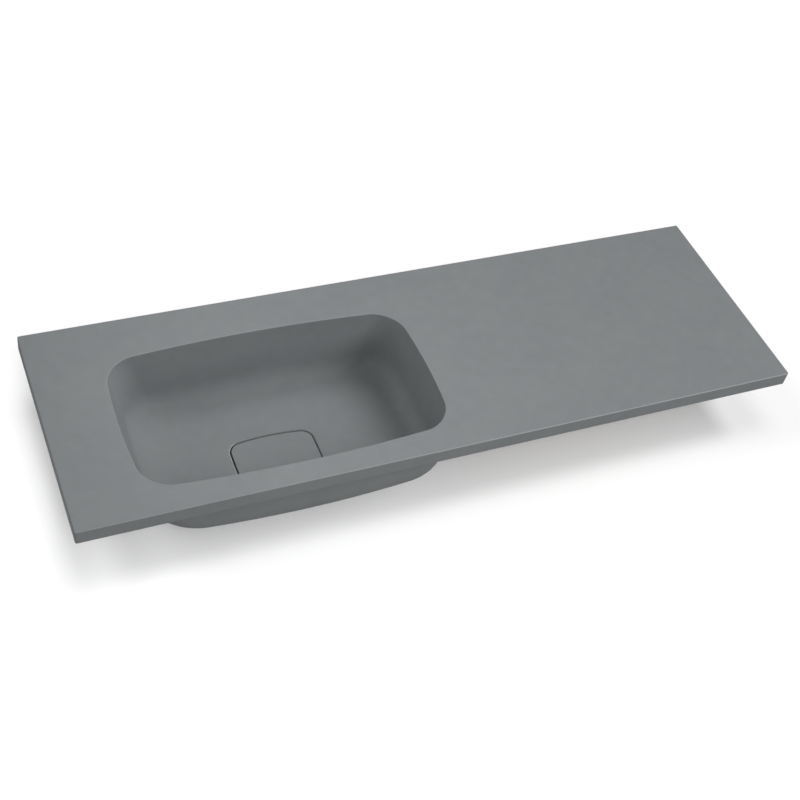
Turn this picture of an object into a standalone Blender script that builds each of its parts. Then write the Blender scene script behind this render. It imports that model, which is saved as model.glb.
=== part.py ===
"""Washbasin: a solid-surface vanity top with a bowl on the left and a flat shelf on the right.

The top is a thin sheet with deep strips bonded under its edges. The bowl is a shell bonded
under the opening in the sheet. In its floor a recess holds a lift-off drain cover, and a
free-flow waste with a lift-out strainer is clamped through the recess.

Metres, +Z up, +X to the right, +Y towards the wall. The origin is at the middle of the
underside of the rear strip, which rests on the cabinet.
"""

import math

import bmesh
import bpy
from mathutils import Matrix, Vector

# Bonded and resting joints
SEAM = 0.0003

# Bowl opening in the sheet
OPENING_WIDTH = 0.497
OPENING_DEPTH = 0.2718
OPENING_CORNER = 0.0432
OPENING_SIDE_BOW = 0.0083
OPENING_LONG_BOW = 0.0117

# Sheet and edge strips
SHEET_THICKNESS = 0.012
STRIP_HEIGHT = 0.0135
FRONT_STRIP_WIDTH = 0.018
REAR_STRIP_WIDTH = 0.040
SIDE_STRIP_WIDTH = 0.040
SLAB_CORNER = 0.003
EDGE_EASE = 0.0012

# Bowl shell
BOWL_WALL = 0.013
BOWL_DEPTH = 0.1275
FLOOR_FALL = 0.002
FLANGE_LIP = 0.005
FLANGE_THICKNESS = 0.008
FILLET_HEIGHT = 0.042
LEFT_FILLET = 0.072
RIGHT_FILLET = 0.036
FRONT_FILLET = 0.028
REAR_FILLET = 0.038
FLOOR_CORNER = 0.062
LEFT_LEAN = math.radians(15.5)
RIGHT_LEAN = math.radians(0.6)
FRONT_LEAN = math.radians(0.2)
REAR_LEAN = math.radians(1.2)

# Margins of the sheet round the bowl flange
FRONT_CLEARANCE = 0.0014
REAR_CLEARANCE = 0.0168
LEFT_CLEARANCE = 0.046
SHELF_WIDTH = 0.599

# Drain recess and cover
COVER_WIDTH = 0.137
COVER_DEPTH = 0.108
COVER_THICKNESS = 0.010
COVER_CORNER = 0.0145
COVER_SIDE_BOW = 0.001
COVER_LONG_BOW = 0.006
COVER_EASE = 0.0008
DRAIN_GAP = 0.0029
FLOW_HEIGHT = 0.008
RECESS_LEDGE = 0.0052
FOOT_RADIUS = 0.005
FOOT_INSET = 0.018
LOCATOR_RADIUS = 0.017
LOCATOR_THICKNESS = 0.0025
SPIGOT_RADIUS = 0.006
SPIGOT_REACH = 0.010
SPIGOT_CLEARANCE = 0.0004

# Waste fitting
SHANK_RADIUS = 0.0205
SHANK_WALL = 0.0033
WASTE_LENGTH = 0.076
FLANGE_OVERHANG = 0.0115
WASTE_FLANGE_THICKNESS = 0.003
BASKET_RIM_THICKNESS = 0.0012
BASKET_RIM_WIDTH = 0.005
BASKET_WALL = 0.0012
BASKET_DEPTH = 0.018
BASKET_CLEARANCE = 0.0007
BASKET_SLOTS = 8
SLOT_WIDTH = 0.0024
SLOT_END_MARGIN = 0.0006
FLANGE_SEAL_THICKNESS = 0.0015
LOWER_SEAL_THICKNESS = 0.004
SLIP_WASHER_THICKNESS = 0.0015
NUT_HEIGHT = 0.010
NUT_RADIUS = 0.030
NUT_SIDES = 6
SHANK_CLEARANCE = 0.0005
HOLE_CLEARANCE = 0.0015
SEAT_THICKNESS = 0.015
SEAT_MARGIN = 0.012

# Shelf battens and threaded inserts
BATTEN_COUNT = 3
BATTEN_WIDTH = 0.040
BATTEN_HEIGHT = 0.012
BATTEN_END_GAP = 0.0003
INSERT_RADIUS = 0.005
INSERT_BORE_RADIUS = 0.0025
INSERT_LENGTH = 0.009
INSERT_END_DISTANCE = 0.045

# Faceting
SIDE_STEPS = 3
CORNER_STEPS = 6
FILLET_STEPS = 8
EASE_STEPS = 2
EDGE_STEPS = 3
TURN_STEPS = 48
SMALL_TURN_STEPS = 20
CUT_OVERRUN = 0.001
MERGE_DISTANCE = 0.00001
SHARP_ANGLE = math.radians(30)

# Sizes that follow
FLANGE_WIDTH = BOWL_WALL + FLANGE_LIP
FRONT_MARGIN = FRONT_STRIP_WIDTH + FRONT_CLEARANCE + FLANGE_WIDTH
REAR_MARGIN = REAR_STRIP_WIDTH + REAR_CLEARANCE + FLANGE_WIDTH
LEFT_MARGIN = SIDE_STRIP_WIDTH + LEFT_CLEARANCE + FLANGE_WIDTH
SLAB_WIDTH = LEFT_MARGIN + OPENING_WIDTH + SHELF_WIDTH
SLAB_DEPTH = FRONT_MARGIN + OPENING_DEPTH + REAR_MARGIN

LEFT = -SLAB_WIDTH / 2
RIGHT = SLAB_WIDTH / 2
REAR = REAR_STRIP_WIDTH / 2
FRONT = REAR - SLAB_DEPTH
SHEET_UNDERSIDE = STRIP_HEIGHT + SEAM
DECK_TOP = SHEET_UNDERSIDE + SHEET_THICKNESS

OPENING_LEFT = LEFT + LEFT_MARGIN
OPENING_RIGHT = OPENING_LEFT + OPENING_WIDTH
OPENING_FRONT = FRONT + FRONT_MARGIN
OPENING_REAR = OPENING_FRONT + OPENING_DEPTH

FLOOR_EDGE_DEPTH = BOWL_DEPTH - FLOOR_FALL
RECESS_DEPTH = BOWL_DEPTH + COVER_THICKNESS + FLOW_HEIGHT
RECESS_WIDTH = COVER_WIDTH + 2 * DRAIN_GAP
RECESS_LENGTH = COVER_DEPTH + 2 * DRAIN_GAP
RECESS_CORNER = COVER_CORNER + DRAIN_GAP
FLOOR_FRONT = OPENING_FRONT + math.tan(FRONT_LEAN) * FLOOR_EDGE_DEPTH + FRONT_FILLET
DRAIN_X = (OPENING_LEFT + OPENING_RIGHT) / 2
DRAIN_Y = FLOOR_FRONT + RECESS_LEDGE + BOWL_WALL + RECESS_LENGTH / 2

WASTE_FLANGE_RADIUS = SHANK_RADIUS + FLANGE_OVERHANG
WASTE_BORE_RADIUS = SHANK_RADIUS - SHANK_WALL
BASKET_SEAT_RADIUS = WASTE_BORE_RADIUS + BASKET_RIM_WIDTH
WASTE_TOP = DECK_TOP - RECESS_DEPTH
WASTE_FLANGE_UNDERSIDE = WASTE_TOP - WASTE_FLANGE_THICKNESS
COUNTERBORE_FLOOR = WASTE_FLANGE_UNDERSIDE - FLANGE_SEAL_THICKNESS - 2 * SEAM
COUNTERBORE_RADIUS = WASTE_FLANGE_RADIUS + SHANK_CLEARANCE
HOLE_RADIUS = SHANK_RADIUS + HOLE_CLEARANCE
SEAT_UNDERSIDE = WASTE_TOP - SEAT_THICKNESS
SEAT_RADIUS = NUT_RADIUS + SEAT_MARGIN
COVER_TOP = DECK_TOP - BOWL_DEPTH
COVER_UNDERSIDE = COVER_TOP - COVER_THICKNESS

# Finishes: linear colour, roughness, metallic
FINISHES = {
    "solid_surface": ((0.205, 0.218, 0.224), 0.55, 0.0),
    "bowl_surface": ((0.205, 0.218, 0.224), 0.55, 0.0),
    "plywood": ((0.34, 0.22, 0.12), 0.75, 0.0),
    "brass": ((0.62, 0.45, 0.20), 0.35, 1.0),
    "chrome": ((0.62, 0.63, 0.65), 0.15, 1.0),
    "steel": ((0.55, 0.56, 0.57), 0.30, 1.0),
    "rubber": ((0.03, 0.03, 0.03), 0.85, 0.0),
    "silicone": ((0.42, 0.43, 0.43), 0.70, 0.0),
    "nylon": ((0.72, 0.72, 0.70), 0.50, 0.0),
}

parts = None
cutters = None


def clear_scene():
    """Remove every object and start the two collections."""
    global parts, cutters
    for item in list(bpy.data.objects):
        bpy.data.objects.remove(item, do_unlink=True)
    parts = bpy.data.collections.new("washbasin")
    cutters = bpy.data.collections.new("cutters")
    for group in (parts, cutters):
        bpy.context.scene.collection.children.link(group)


def finish(item, name, kind):
    """Give a part its name, its own material and smooth faces with crisp edges."""
    colour, roughness, metallic = FINISHES[kind]
    material = bpy.data.materials.new(name + "_" + kind)
    material.use_nodes = True
    shader = material.node_tree.nodes["Principled BSDF"]
    shader.inputs["Base Color"].default_value = (*colour, 1.0)
    shader.inputs["Roughness"].default_value = roughness
    shader.inputs["Metallic"].default_value = metallic
    item.name = name
    item.data.name = name
    item.data.materials.clear()
    item.data.materials.append(material)
    item.data.shade_smooth()
    item.data.set_sharp_from_angle(angle=SHARP_ANGLE)
    return item


def mesh_object(name, mesh_edit, group):
    """Turn an edited mesh into an object in one of the collections."""
    mesh = bpy.data.meshes.new(name)
    mesh_edit.to_mesh(mesh)
    mesh_edit.free()
    item = bpy.data.objects.new(name, mesh)
    group.objects.link(item)
    return item


def cut(item, cutter):
    """Take the cutter's shape out of the part."""
    cutter.hide_render = True
    cutter.display_type = "WIRE"
    modifier = item.modifiers.new("cut", "BOOLEAN")
    modifier.operation = "DIFFERENCE"
    modifier.object = cutter


def outline(half_x, half_y, corner, side_bow=0.0, long_bow=0.0):
    """Points of a rounded rectangle whose sides stand out by a parabola, anticlockwise.

    The half sizes are taken at the middle of the sides. The rectangle without its bows is
    drawn first, then each point is moved out by the bow's share at its place.
    """
    flat_x = half_x - side_bow
    flat_y = half_y - long_bow
    quarter = []
    for step in range(SIDE_STEPS):
        quarter.append((flat_x, (flat_y - corner) * step / SIDE_STEPS))
    for step in range(CORNER_STEPS + 1):
        angle = math.pi / 2 * step / CORNER_STEPS
        quarter.append((flat_x - corner + corner * math.cos(angle),
                        flat_y - corner + corner * math.sin(angle)))
    for step in range(1, SIDE_STEPS):
        quarter.append(((flat_x - corner) * (1 - step / SIDE_STEPS), flat_y))
    bowed = []
    for x, y in quarter:
        bowed.append((x * (1 + side_bow / flat_x * (1 - (y / flat_y) ** 2)),
                      y * (1 + long_bow / flat_y * (1 - (x / flat_x) ** 2))))
    ahead = bowed + [(0.0, half_y)]
    behind = [(-x, y) for x, y in reversed(ahead[1:-1])] + [(-half_x, 0.0)]
    upper = ahead + behind
    lower = [(-x, -y) for x, y in upper[1:-1]]
    return upper + lower


def circle(radius, count):
    """Points of a circle, anticlockwise from +X."""
    turns = [2 * math.pi * step / count for step in range(count)]
    return [(radius * math.cos(turn), radius * math.sin(turn)) for turn in turns]


def ring(points, centre_x, centre_y, z):
    """Set an outline at its place and level."""
    return [Vector((centre_x + x, centre_y + y, z)) for x, y in points]


def loft(name, rings, kind):
    """Join matched rings one to the next and the last to the first."""
    edit = bmesh.new()
    rows = [[edit.verts.new(point) for point in row] for row in rings]
    for first, second in zip(rows, rows[1:] + rows[:1]):
        for step in range(len(first)):
            after = (step + 1) % len(first)
            edit.faces.new((first[step], first[after], second[after], second[step]))
    bmesh.ops.recalc_face_normals(edit, faces=edit.faces)
    return finish(mesh_object(name, edit, parts), name, kind)


def turned(name, profile, kind, place, steps=TURN_STEPS):
    """Turn a profile about the vertical line through its place.

    The profile runs down its outer side. A profile that leaves the axis and doesn't come
    back to it is joined end to start.
    """
    edit = bmesh.new()
    rim = [edit.verts.new((radius, 0.0, z)) for radius, z in profile]
    for first, second in zip(rim, rim[1:]):
        edit.edges.new((first, second))
    if profile[0][0] > 0:
        edit.edges.new((rim[-1], rim[0]))
    item = mesh_object(name, edit, parts)
    item.location = place
    screw = item.modifiers.new("turn", "SCREW")
    screw.axis = "Z"
    screw.angle = 2 * math.pi
    screw.steps = steps
    screw.render_steps = steps
    screw.use_merge_vertices = True
    screw.merge_threshold = MERGE_DISTANCE
    screw.use_smooth_shade = True
    return finish(item, name, kind)


def washer(name, outer, inner, top, thickness, kind):
    """A flat ring on the waste's axis."""
    profile = [(outer, top), (outer, top - thickness), (inner, top - thickness), (inner, top)]
    return turned(name, profile, kind, (DRAIN_X, DRAIN_Y, 0.0))


def cylinder(name, radius, low, high, x, y, group, steps=SMALL_TURN_STEPS):
    """An upright cylinder between two levels."""
    edit = bmesh.new()
    bmesh.ops.create_cone(edit, cap_ends=True, segments=steps, radius1=radius, radius2=radius,
                          depth=high - low)
    item = mesh_object(name, edit, group)
    item.location = (x, y, (low + high) / 2)
    return item


def board(name, low, high, outer_sides, kind):
    """A box whose outer vertical edges are rounded and whose outer lower edges are eased."""
    size = Vector(high) - Vector(low)
    edit = bmesh.new()
    bmesh.ops.create_cube(edit, size=1.0, matrix=Matrix.Diagonal((*size, 1.0)))
    weights = edit.edges.layers.float.new("bevel_weight_edge")
    half = size / 2
    sides = {"left": (0, -half.x), "right": (0, half.x), "front": (1, -half.y), "rear": (1, half.y)}
    for edge in edit.edges:
        middle = (edge.verts[0].co + edge.verts[1].co) / 2
        touching = [side for side in outer_sides
                    if abs(middle[sides[side][0]] - sides[side][1]) < SEAM]
        if len(touching) == 2:
            edge[weights] = 1.0
        elif len(touching) == 1 and abs(middle.z + half.z) < SEAM:
            edge[weights] = EDGE_EASE / SLAB_CORNER
    item = mesh_object(name, edit, parts)
    item.location = (Vector(low) + Vector(high)) / 2
    bevel = item.modifiers.new("edges", "BEVEL")
    bevel.limit_method = "WEIGHT"
    bevel.width = SLAB_CORNER
    bevel.segments = EDGE_STEPS
    return finish(item, name, kind)


def opening_section(depth, sweep, offset):
    """The bowl's plan at a depth below the deck.

    sweep runs from 0 on the wall to 1 where the fillet meets the floor. offset is how far
    outside the inner face the section lies.
    """
    left = OPENING_LEFT + math.tan(LEFT_LEAN) * depth + LEFT_FILLET * sweep
    right = OPENING_RIGHT - math.tan(RIGHT_LEAN) * depth - RIGHT_FILLET * sweep
    front = OPENING_FRONT + math.tan(FRONT_LEAN) * depth + FRONT_FILLET * sweep
    rear = OPENING_REAR - math.tan(REAR_LEAN) * depth - REAR_FILLET * sweep
    corner = OPENING_CORNER + (FLOOR_CORNER - OPENING_CORNER) * sweep
    half_x = (right - left) / 2 + offset
    half_y = (rear - front) / 2 + offset
    points = outline(half_x, half_y, corner + offset, OPENING_SIDE_BOW, OPENING_LONG_BOW)
    return ring(points, (left + right) / 2, (front + rear) / 2, DECK_TOP - depth)


def bowl_face(first_depth, offset):
    """Rings of one face of the bowl, from the given depth down the wall to the floor.

    The outer face lies one wall outside the inner face and one wall lower.
    """
    fillet_start = FLOOR_EDGE_DEPTH - FILLET_HEIGHT
    rings = [opening_section(first_depth, 0.0, offset)]
    for step in range(FILLET_STEPS + 1):
        angle = math.pi / 2 * step / FILLET_STEPS
        depth = fillet_start + (FILLET_HEIGHT + offset) * math.sin(angle)
        sweep = 1 - math.cos(angle)
        rings.append(opening_section(depth, sweep, offset * math.cos(angle)))
    return rings


def eased_rim(section, inward):
    """Rings that round an edge at the deck's top; inward is -1 for the slab, 1 for a hole."""
    rings = []
    for step in range(EASE_STEPS + 1):
        angle = math.pi / 2 * step / EASE_STEPS
        spread = EDGE_EASE * (1 - math.cos(angle)) * inward
        rings.append(section(spread, DECK_TOP - EDGE_EASE + EDGE_EASE * math.sin(angle)))
    return rings


def slab_section(spread, z):
    """The slab's outline, grown by spread."""
    points = outline(SLAB_WIDTH / 2 + spread, SLAB_DEPTH / 2 + spread, SLAB_CORNER)
    return ring(points, (LEFT + RIGHT) / 2, (FRONT + REAR) / 2, z)


def hole_section(spread, z):
    """The bowl opening's outline in the sheet, grown by spread."""
    return [Vector((point.x, point.y, z)) for point in opening_section(0.0, 0.0, spread)]


def make_deck():
    """The sheet with its opening, eased round its top edge and the rim of the opening."""
    hole = eased_rim(hole_section, 1)
    edge = eased_rim(slab_section, -1)
    rings = [opening_section(DECK_TOP - SHEET_UNDERSIDE, 0.0, 0.0)]
    rings += hole
    rings += list(reversed(edge))
    rings.append(slab_section(0.0, SHEET_UNDERSIDE))
    loft("deck_sheet", rings, "solid_surface")


def make_strips():
    """The strips under the sheet's edges: front and rear full width, the sides between them."""
    front_inner = FRONT + FRONT_STRIP_WIDTH
    rear_inner = REAR - REAR_STRIP_WIDTH
    left_inner = LEFT + SIDE_STRIP_WIDTH
    right_inner = RIGHT - SIDE_STRIP_WIDTH
    side_front = front_inner + SEAM
    side_rear = rear_inner - SEAM
    board("front_strip", (LEFT, FRONT, 0.0), (RIGHT, front_inner, STRIP_HEIGHT),
          ("left", "right", "front"), "solid_surface")
    rear = board("rear_strip", (LEFT, rear_inner, 0.0), (RIGHT, REAR, STRIP_HEIGHT),
                 ("left", "right", "rear"), "solid_surface")
    left = board("left_strip", (LEFT, side_front, 0.0), (left_inner, side_rear, STRIP_HEIGHT),
                 ("left",), "solid_surface")
    right = board("right_strip", (right_inner, side_front, 0.0), (RIGHT, side_rear, STRIP_HEIGHT),
                  ("right",), "solid_surface")
    middle = (side_front + side_rear) / 2
    reach = (side_rear - side_front) / 2 - INSERT_END_DISTANCE
    side_x = SLAB_WIDTH / 2 - SIDE_STRIP_WIDTH / 2
    rear_y = (rear_inner + REAR) / 2
    make_insert("threaded_insert_left_front", -side_x, middle - reach, left)
    make_insert("threaded_insert_left_rear", -side_x, middle + reach, left)
    make_insert("threaded_insert_right_front", side_x, middle - reach, right)
    make_insert("threaded_insert_right_rear", side_x, middle + reach, right)
    make_insert("threaded_insert_rear_left", -SLAB_WIDTH / 4, rear_y, rear)
    make_insert("threaded_insert_rear_right", SLAB_WIDTH / 4, rear_y, rear)


def make_insert(name, x, y, strip):
    """A brass sleeve in a blind bore in the underside of a strip."""
    bore = cylinder(name + "_bore", INSERT_RADIUS + SEAM, -CUT_OVERRUN, INSERT_LENGTH + SEAM,
                    x, y, cutters)
    cut(strip, bore)
    profile = [(INSERT_RADIUS, INSERT_LENGTH), (INSERT_RADIUS, 0.0),
               (INSERT_BORE_RADIUS, 0.0), (INSERT_BORE_RADIUS, INSERT_LENGTH)]
    turned(name, profile, "brass", (x, y, 0.0), SMALL_TURN_STEPS)


def make_battens():
    """Battens under the shelf, evenly spaced between the bowl flange and the right strip."""
    first = OPENING_RIGHT + FLANGE_WIDTH
    last = RIGHT - SIDE_STRIP_WIDTH
    pitch = (last - first) / (BATTEN_COUNT + 1)
    front = FRONT + FRONT_STRIP_WIDTH + BATTEN_END_GAP
    rear = REAR - REAR_STRIP_WIDTH - BATTEN_END_GAP
    top = SHEET_UNDERSIDE - SEAM
    for step in range(BATTEN_COUNT):
        x = first + pitch * (step + 1)
        board("shelf_batten_%d" % (step + 1), (x - BATTEN_WIDTH / 2, front, top - BATTEN_HEIGHT),
              (x + BATTEN_WIDTH / 2, rear, top), (), "plywood")


def recess_section(spread, z):
    """The drain recess's plan, grown by spread."""
    points = outline(RECESS_WIDTH / 2 + spread, RECESS_LENGTH / 2 + spread,
                     RECESS_CORNER + spread, COVER_SIDE_BOW, COVER_LONG_BOW)
    return ring(points, DRAIN_X, DRAIN_Y, z)


def drain_circle(radius, z):
    """A circle on the waste's axis with as many points as an outline."""
    count = 4 * (2 * SIDE_STEPS + CORNER_STEPS)
    return ring(circle(radius, count), DRAIN_X, DRAIN_Y, z)


def make_bowl():
    """The bowl shell: inner face, recess, waste hole, then back up the outer face."""
    shell_top = SHEET_UNDERSIDE - SEAM
    flange_underside = shell_top - FLANGE_THICKNESS
    floor = DECK_TOP - BOWL_DEPTH
    rings = bowl_face(DECK_TOP - shell_top, 0.0)
    rings.append(recess_section(COVER_EASE, floor))
    rings.append(recess_section(0.0, floor - COVER_EASE))
    rings.append(recess_section(0.0, WASTE_TOP))
    rings.append(drain_circle(COUNTERBORE_RADIUS, WASTE_TOP))
    rings.append(drain_circle(COUNTERBORE_RADIUS, COUNTERBORE_FLOOR))
    rings.append(drain_circle(HOLE_RADIUS, COUNTERBORE_FLOOR))
    rings.append(drain_circle(HOLE_RADIUS, SEAT_UNDERSIDE))
    rings.append(drain_circle(SEAT_RADIUS, SEAT_UNDERSIDE))
    rings.append(drain_circle(SEAT_RADIUS, WASTE_TOP - BOWL_WALL))
    rings.append(recess_section(BOWL_WALL, WASTE_TOP - BOWL_WALL))
    rings.append(recess_section(BOWL_WALL, floor - BOWL_WALL))
    rings += list(reversed(bowl_face(DECK_TOP - flange_underside, BOWL_WALL)))
    rings.append(opening_section(DECK_TOP - flange_underside, 0.0, FLANGE_WIDTH))
    rings.append(opening_section(DECK_TOP - shell_top, 0.0, FLANGE_WIDTH))
    loft("bowl_shell", rings, "bowl_surface")


def make_cover():
    """The drain cover with the locator and the feet bonded under it."""
    half_x = COVER_WIDTH / 2
    half_y = COVER_DEPTH / 2
    curve = bpy.data.curves.new("drain_cover", "CURVE")
    curve.dimensions = "2D"
    curve.fill_mode = "BOTH"
    curve.extrude = COVER_THICKNESS / 2 - COVER_EASE
    curve.bevel_depth = COVER_EASE
    curve.bevel_resolution = EASE_STEPS - 1
    curve.offset = -COVER_EASE
    points = outline(half_x, half_y, COVER_CORNER, COVER_SIDE_BOW, COVER_LONG_BOW)
    spline = curve.splines.new("POLY")
    spline.points.add(len(points) - 1)
    for slot, (x, y) in zip(spline.points, points):
        slot.co = (x, y, 0.0, 1.0)
    spline.use_cyclic_u = True
    drawn = bpy.data.objects.new("drain_cover_curve", curve)
    parts.objects.link(drawn)
    bpy.context.view_layer.update()
    graph = bpy.context.evaluated_depsgraph_get()
    mesh = bpy.data.meshes.new_from_object(drawn.evaluated_get(graph))
    bpy.data.objects.remove(drawn)
    edit = bmesh.new()
    edit.from_mesh(mesh)
    bmesh.ops.remove_doubles(edit, verts=edit.verts, dist=MERGE_DISTANCE)
    bmesh.ops.recalc_face_normals(edit, faces=edit.faces)
    cover = mesh_object("drain_cover", edit, parts)
    cover.location = (DRAIN_X, DRAIN_Y, (COVER_TOP + COVER_UNDERSIDE) / 2)
    finish(cover, "drain_cover", "solid_surface")
    make_locator()
    for name, side_x, side_y in (("left_front", -1, -1), ("right_front", 1, -1),
                                 ("left_rear", -1, 1), ("right_rear", 1, 1)):
        foot = cylinder("cover_foot_" + name, FOOT_RADIUS, WASTE_TOP + SEAM, COVER_UNDERSIDE - SEAM,
                        DRAIN_X + side_x * (half_x - FOOT_INSET),
                        DRAIN_Y + side_y * (half_y - FOOT_INSET), parts)
        finish(foot, "cover_foot_" + name, "silicone")


def make_locator():
    """A disc under the cover with a spigot that drops into the strainer's socket."""
    top = COVER_UNDERSIDE - SEAM
    shoulder = top - LOCATOR_THICKNESS
    tip = WASTE_TOP - SPIGOT_REACH
    profile = [(0.0, top), (LOCATOR_RADIUS, top), (LOCATOR_RADIUS, shoulder),
               (SPIGOT_RADIUS, shoulder), (SPIGOT_RADIUS, tip), (0.0, tip)]
    turned("cover_locator", profile, "steel", (DRAIN_X, DRAIN_Y, 0.0))


def make_strainer():
    """A slotted cup that hangs by its rim in the waste, with a socket in its middle."""
    top = WASTE_TOP
    cup = WASTE_BORE_RADIUS - BASKET_CLEARANCE
    rim = BASKET_SEAT_RADIUS - BASKET_CLEARANCE
    bottom = top - BASKET_DEPTH
    floor = bottom + BASKET_WALL
    socket_bore = SPIGOT_RADIUS + SPIGOT_CLEARANCE
    socket = socket_bore + BASKET_WALL
    profile = [(rim, top), (rim, top - BASKET_RIM_THICKNESS), (cup, top - BASKET_RIM_THICKNESS),
               (cup, bottom), (socket_bore, bottom), (socket_bore, top), (socket, top),
               (socket, floor), (cup - BASKET_WALL, floor), (cup - BASKET_WALL, top)]
    basket = turned("strainer_basket", profile, "steel", (DRAIN_X, DRAIN_Y, 0.0))
    slots = bmesh.new()
    inner = socket + SLOT_END_MARGIN
    outer = cup - BASKET_WALL - SLOT_END_MARGIN
    length = outer - inner
    for step in range(BASKET_SLOTS):
        turn = Matrix.Rotation(2 * math.pi * step / BASKET_SLOTS, 4, "Z")
        move = Matrix.Translation(((inner + outer) / 2, 0.0, (bottom + floor) / 2))
        size = Matrix.Diagonal((length, SLOT_WIDTH, BASKET_WALL + 2 * CUT_OVERRUN, 1.0))
        bmesh.ops.create_cube(slots, size=1.0, matrix=turn @ move @ size)
    cutter = mesh_object("strainer_slots", slots, cutters)
    cutter.location = (DRAIN_X, DRAIN_Y, 0.0)
    cut(basket, cutter)


def make_waste():
    """The waste body through the bowl, its seals, the slip washer and the back nut."""
    seat = WASTE_TOP - BASKET_RIM_THICKNESS - SEAM
    end = WASTE_TOP - WASTE_LENGTH
    profile = [(WASTE_FLANGE_RADIUS, WASTE_TOP), (WASTE_FLANGE_RADIUS, WASTE_FLANGE_UNDERSIDE),
               (SHANK_RADIUS, WASTE_FLANGE_UNDERSIDE), (SHANK_RADIUS, end),
               (WASTE_BORE_RADIUS, end), (WASTE_BORE_RADIUS, seat),
               (BASKET_SEAT_RADIUS, seat), (BASKET_SEAT_RADIUS, WASTE_TOP)]
    turned("waste_body", profile, "chrome", (DRAIN_X, DRAIN_Y, 0.0))
    ring_bore = SHANK_RADIUS + SHANK_CLEARANCE
    washer("flange_seal", WASTE_FLANGE_RADIUS - SHANK_CLEARANCE, ring_bore,
           WASTE_FLANGE_UNDERSIDE - SEAM, FLANGE_SEAL_THICKNESS, "rubber")
    seal_top = SEAT_UNDERSIDE - SEAM
    washer_top = seal_top - LOWER_SEAL_THICKNESS - SEAM
    nut_top = washer_top - SLIP_WASHER_THICKNESS - SEAM
    washer("lower_seal", NUT_RADIUS, ring_bore, seal_top, LOWER_SEAL_THICKNESS, "rubber")
    washer("slip_washer", NUT_RADIUS, ring_bore, washer_top, SLIP_WASHER_THICKNESS, "nylon")
    nut = cylinder("back_nut", NUT_RADIUS, nut_top - NUT_HEIGHT, nut_top, DRAIN_X, DRAIN_Y, parts,
                   NUT_SIDES)
    finish(nut, "back_nut", "brass")
    bore = cylinder("back_nut_bore", ring_bore, nut_top - NUT_HEIGHT - CUT_OVERRUN,
                    nut_top + CUT_OVERRUN, DRAIN_X, DRAIN_Y, cutters, TURN_STEPS)
    cut(nut, bore)


def make_washbasin():
    """Build every part of the washbasin."""
    clear_scene()
    make_deck()
    make_strips()
    make_battens()
    make_bowl()
    make_waste()
    make_strainer()
    make_cover()


make_washbasin()
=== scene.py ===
"""Washbasin: the finished look of a solid-surface vanity top with its bowl, drain cover and waste.

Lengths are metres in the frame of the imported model: +Z up, +X to the right and +Y towards the
wall. Each piece is a surface worked out with numpy as whole arrays: rings of points, one row for
each ring, laid one after another and joined into a closed skin.
"""

import math

import bpy
import numpy as np
from mathutils import Matrix, Vector


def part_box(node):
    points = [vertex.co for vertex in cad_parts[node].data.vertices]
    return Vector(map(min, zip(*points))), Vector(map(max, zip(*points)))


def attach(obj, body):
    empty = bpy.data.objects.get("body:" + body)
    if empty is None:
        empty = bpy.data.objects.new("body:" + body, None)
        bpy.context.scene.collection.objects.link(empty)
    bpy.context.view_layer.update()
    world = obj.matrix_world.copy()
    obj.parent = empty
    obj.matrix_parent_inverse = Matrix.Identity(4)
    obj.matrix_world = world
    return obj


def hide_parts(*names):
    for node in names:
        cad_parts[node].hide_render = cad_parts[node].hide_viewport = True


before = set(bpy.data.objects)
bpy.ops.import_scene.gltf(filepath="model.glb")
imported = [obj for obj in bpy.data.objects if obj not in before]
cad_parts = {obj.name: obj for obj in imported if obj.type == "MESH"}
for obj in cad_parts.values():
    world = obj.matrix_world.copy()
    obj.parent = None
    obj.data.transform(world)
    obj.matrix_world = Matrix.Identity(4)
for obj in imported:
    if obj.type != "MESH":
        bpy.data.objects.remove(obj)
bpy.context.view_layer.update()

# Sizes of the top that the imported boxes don't give
LEFT_MARGIN = 0.104
FRONT_MARGIN = 0.0374
OPENING_WIDTH = 0.497
OPENING_DEPTH = 0.2718
OPENING_CORNER = 0.0432
SIDE_BOW = 0.0083
LONG_BOW = 0.0117
EDGE_EASE = 0.0012
SLAB_CORNER = 0.003
BATTEN_EASE = 0.0008
BATTEN_CORNER = 0.003
BOWL_WALL = 0.013
BOWL_DEPTH = 0.1275
FLOOR_FALL = 0.002
FLANGE_WIDTH = 0.018
FLANGE_THICKNESS = 0.008
FILLET_HEIGHT = 0.042
LEFT_FILLET = 0.072
RIGHT_FILLET = 0.036
FRONT_FILLET = 0.028
REAR_FILLET = 0.038
FLOOR_CORNER = 0.062
FILLET_FULLNESS = 2.8
LEFT_LEAN = math.radians(15.5)
RIGHT_LEAN = math.radians(0.6)
FRONT_LEAN = math.radians(0.2)
REAR_LEAN = math.radians(1.2)

# Drain recess and cover
DRAIN_GAP = 0.0022
COVER_CORNER = 0.0145
COVER_SIDE_BOW = 0.001
COVER_LONG_BOW = 0.006
COVER_EASE = 0.0010
COVER_FACE_INSET = 0.03
RECESS_LIP = 0.0028
RECESS_FOOT = 0.0012
SEAT_MARGIN = 0.012

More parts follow.
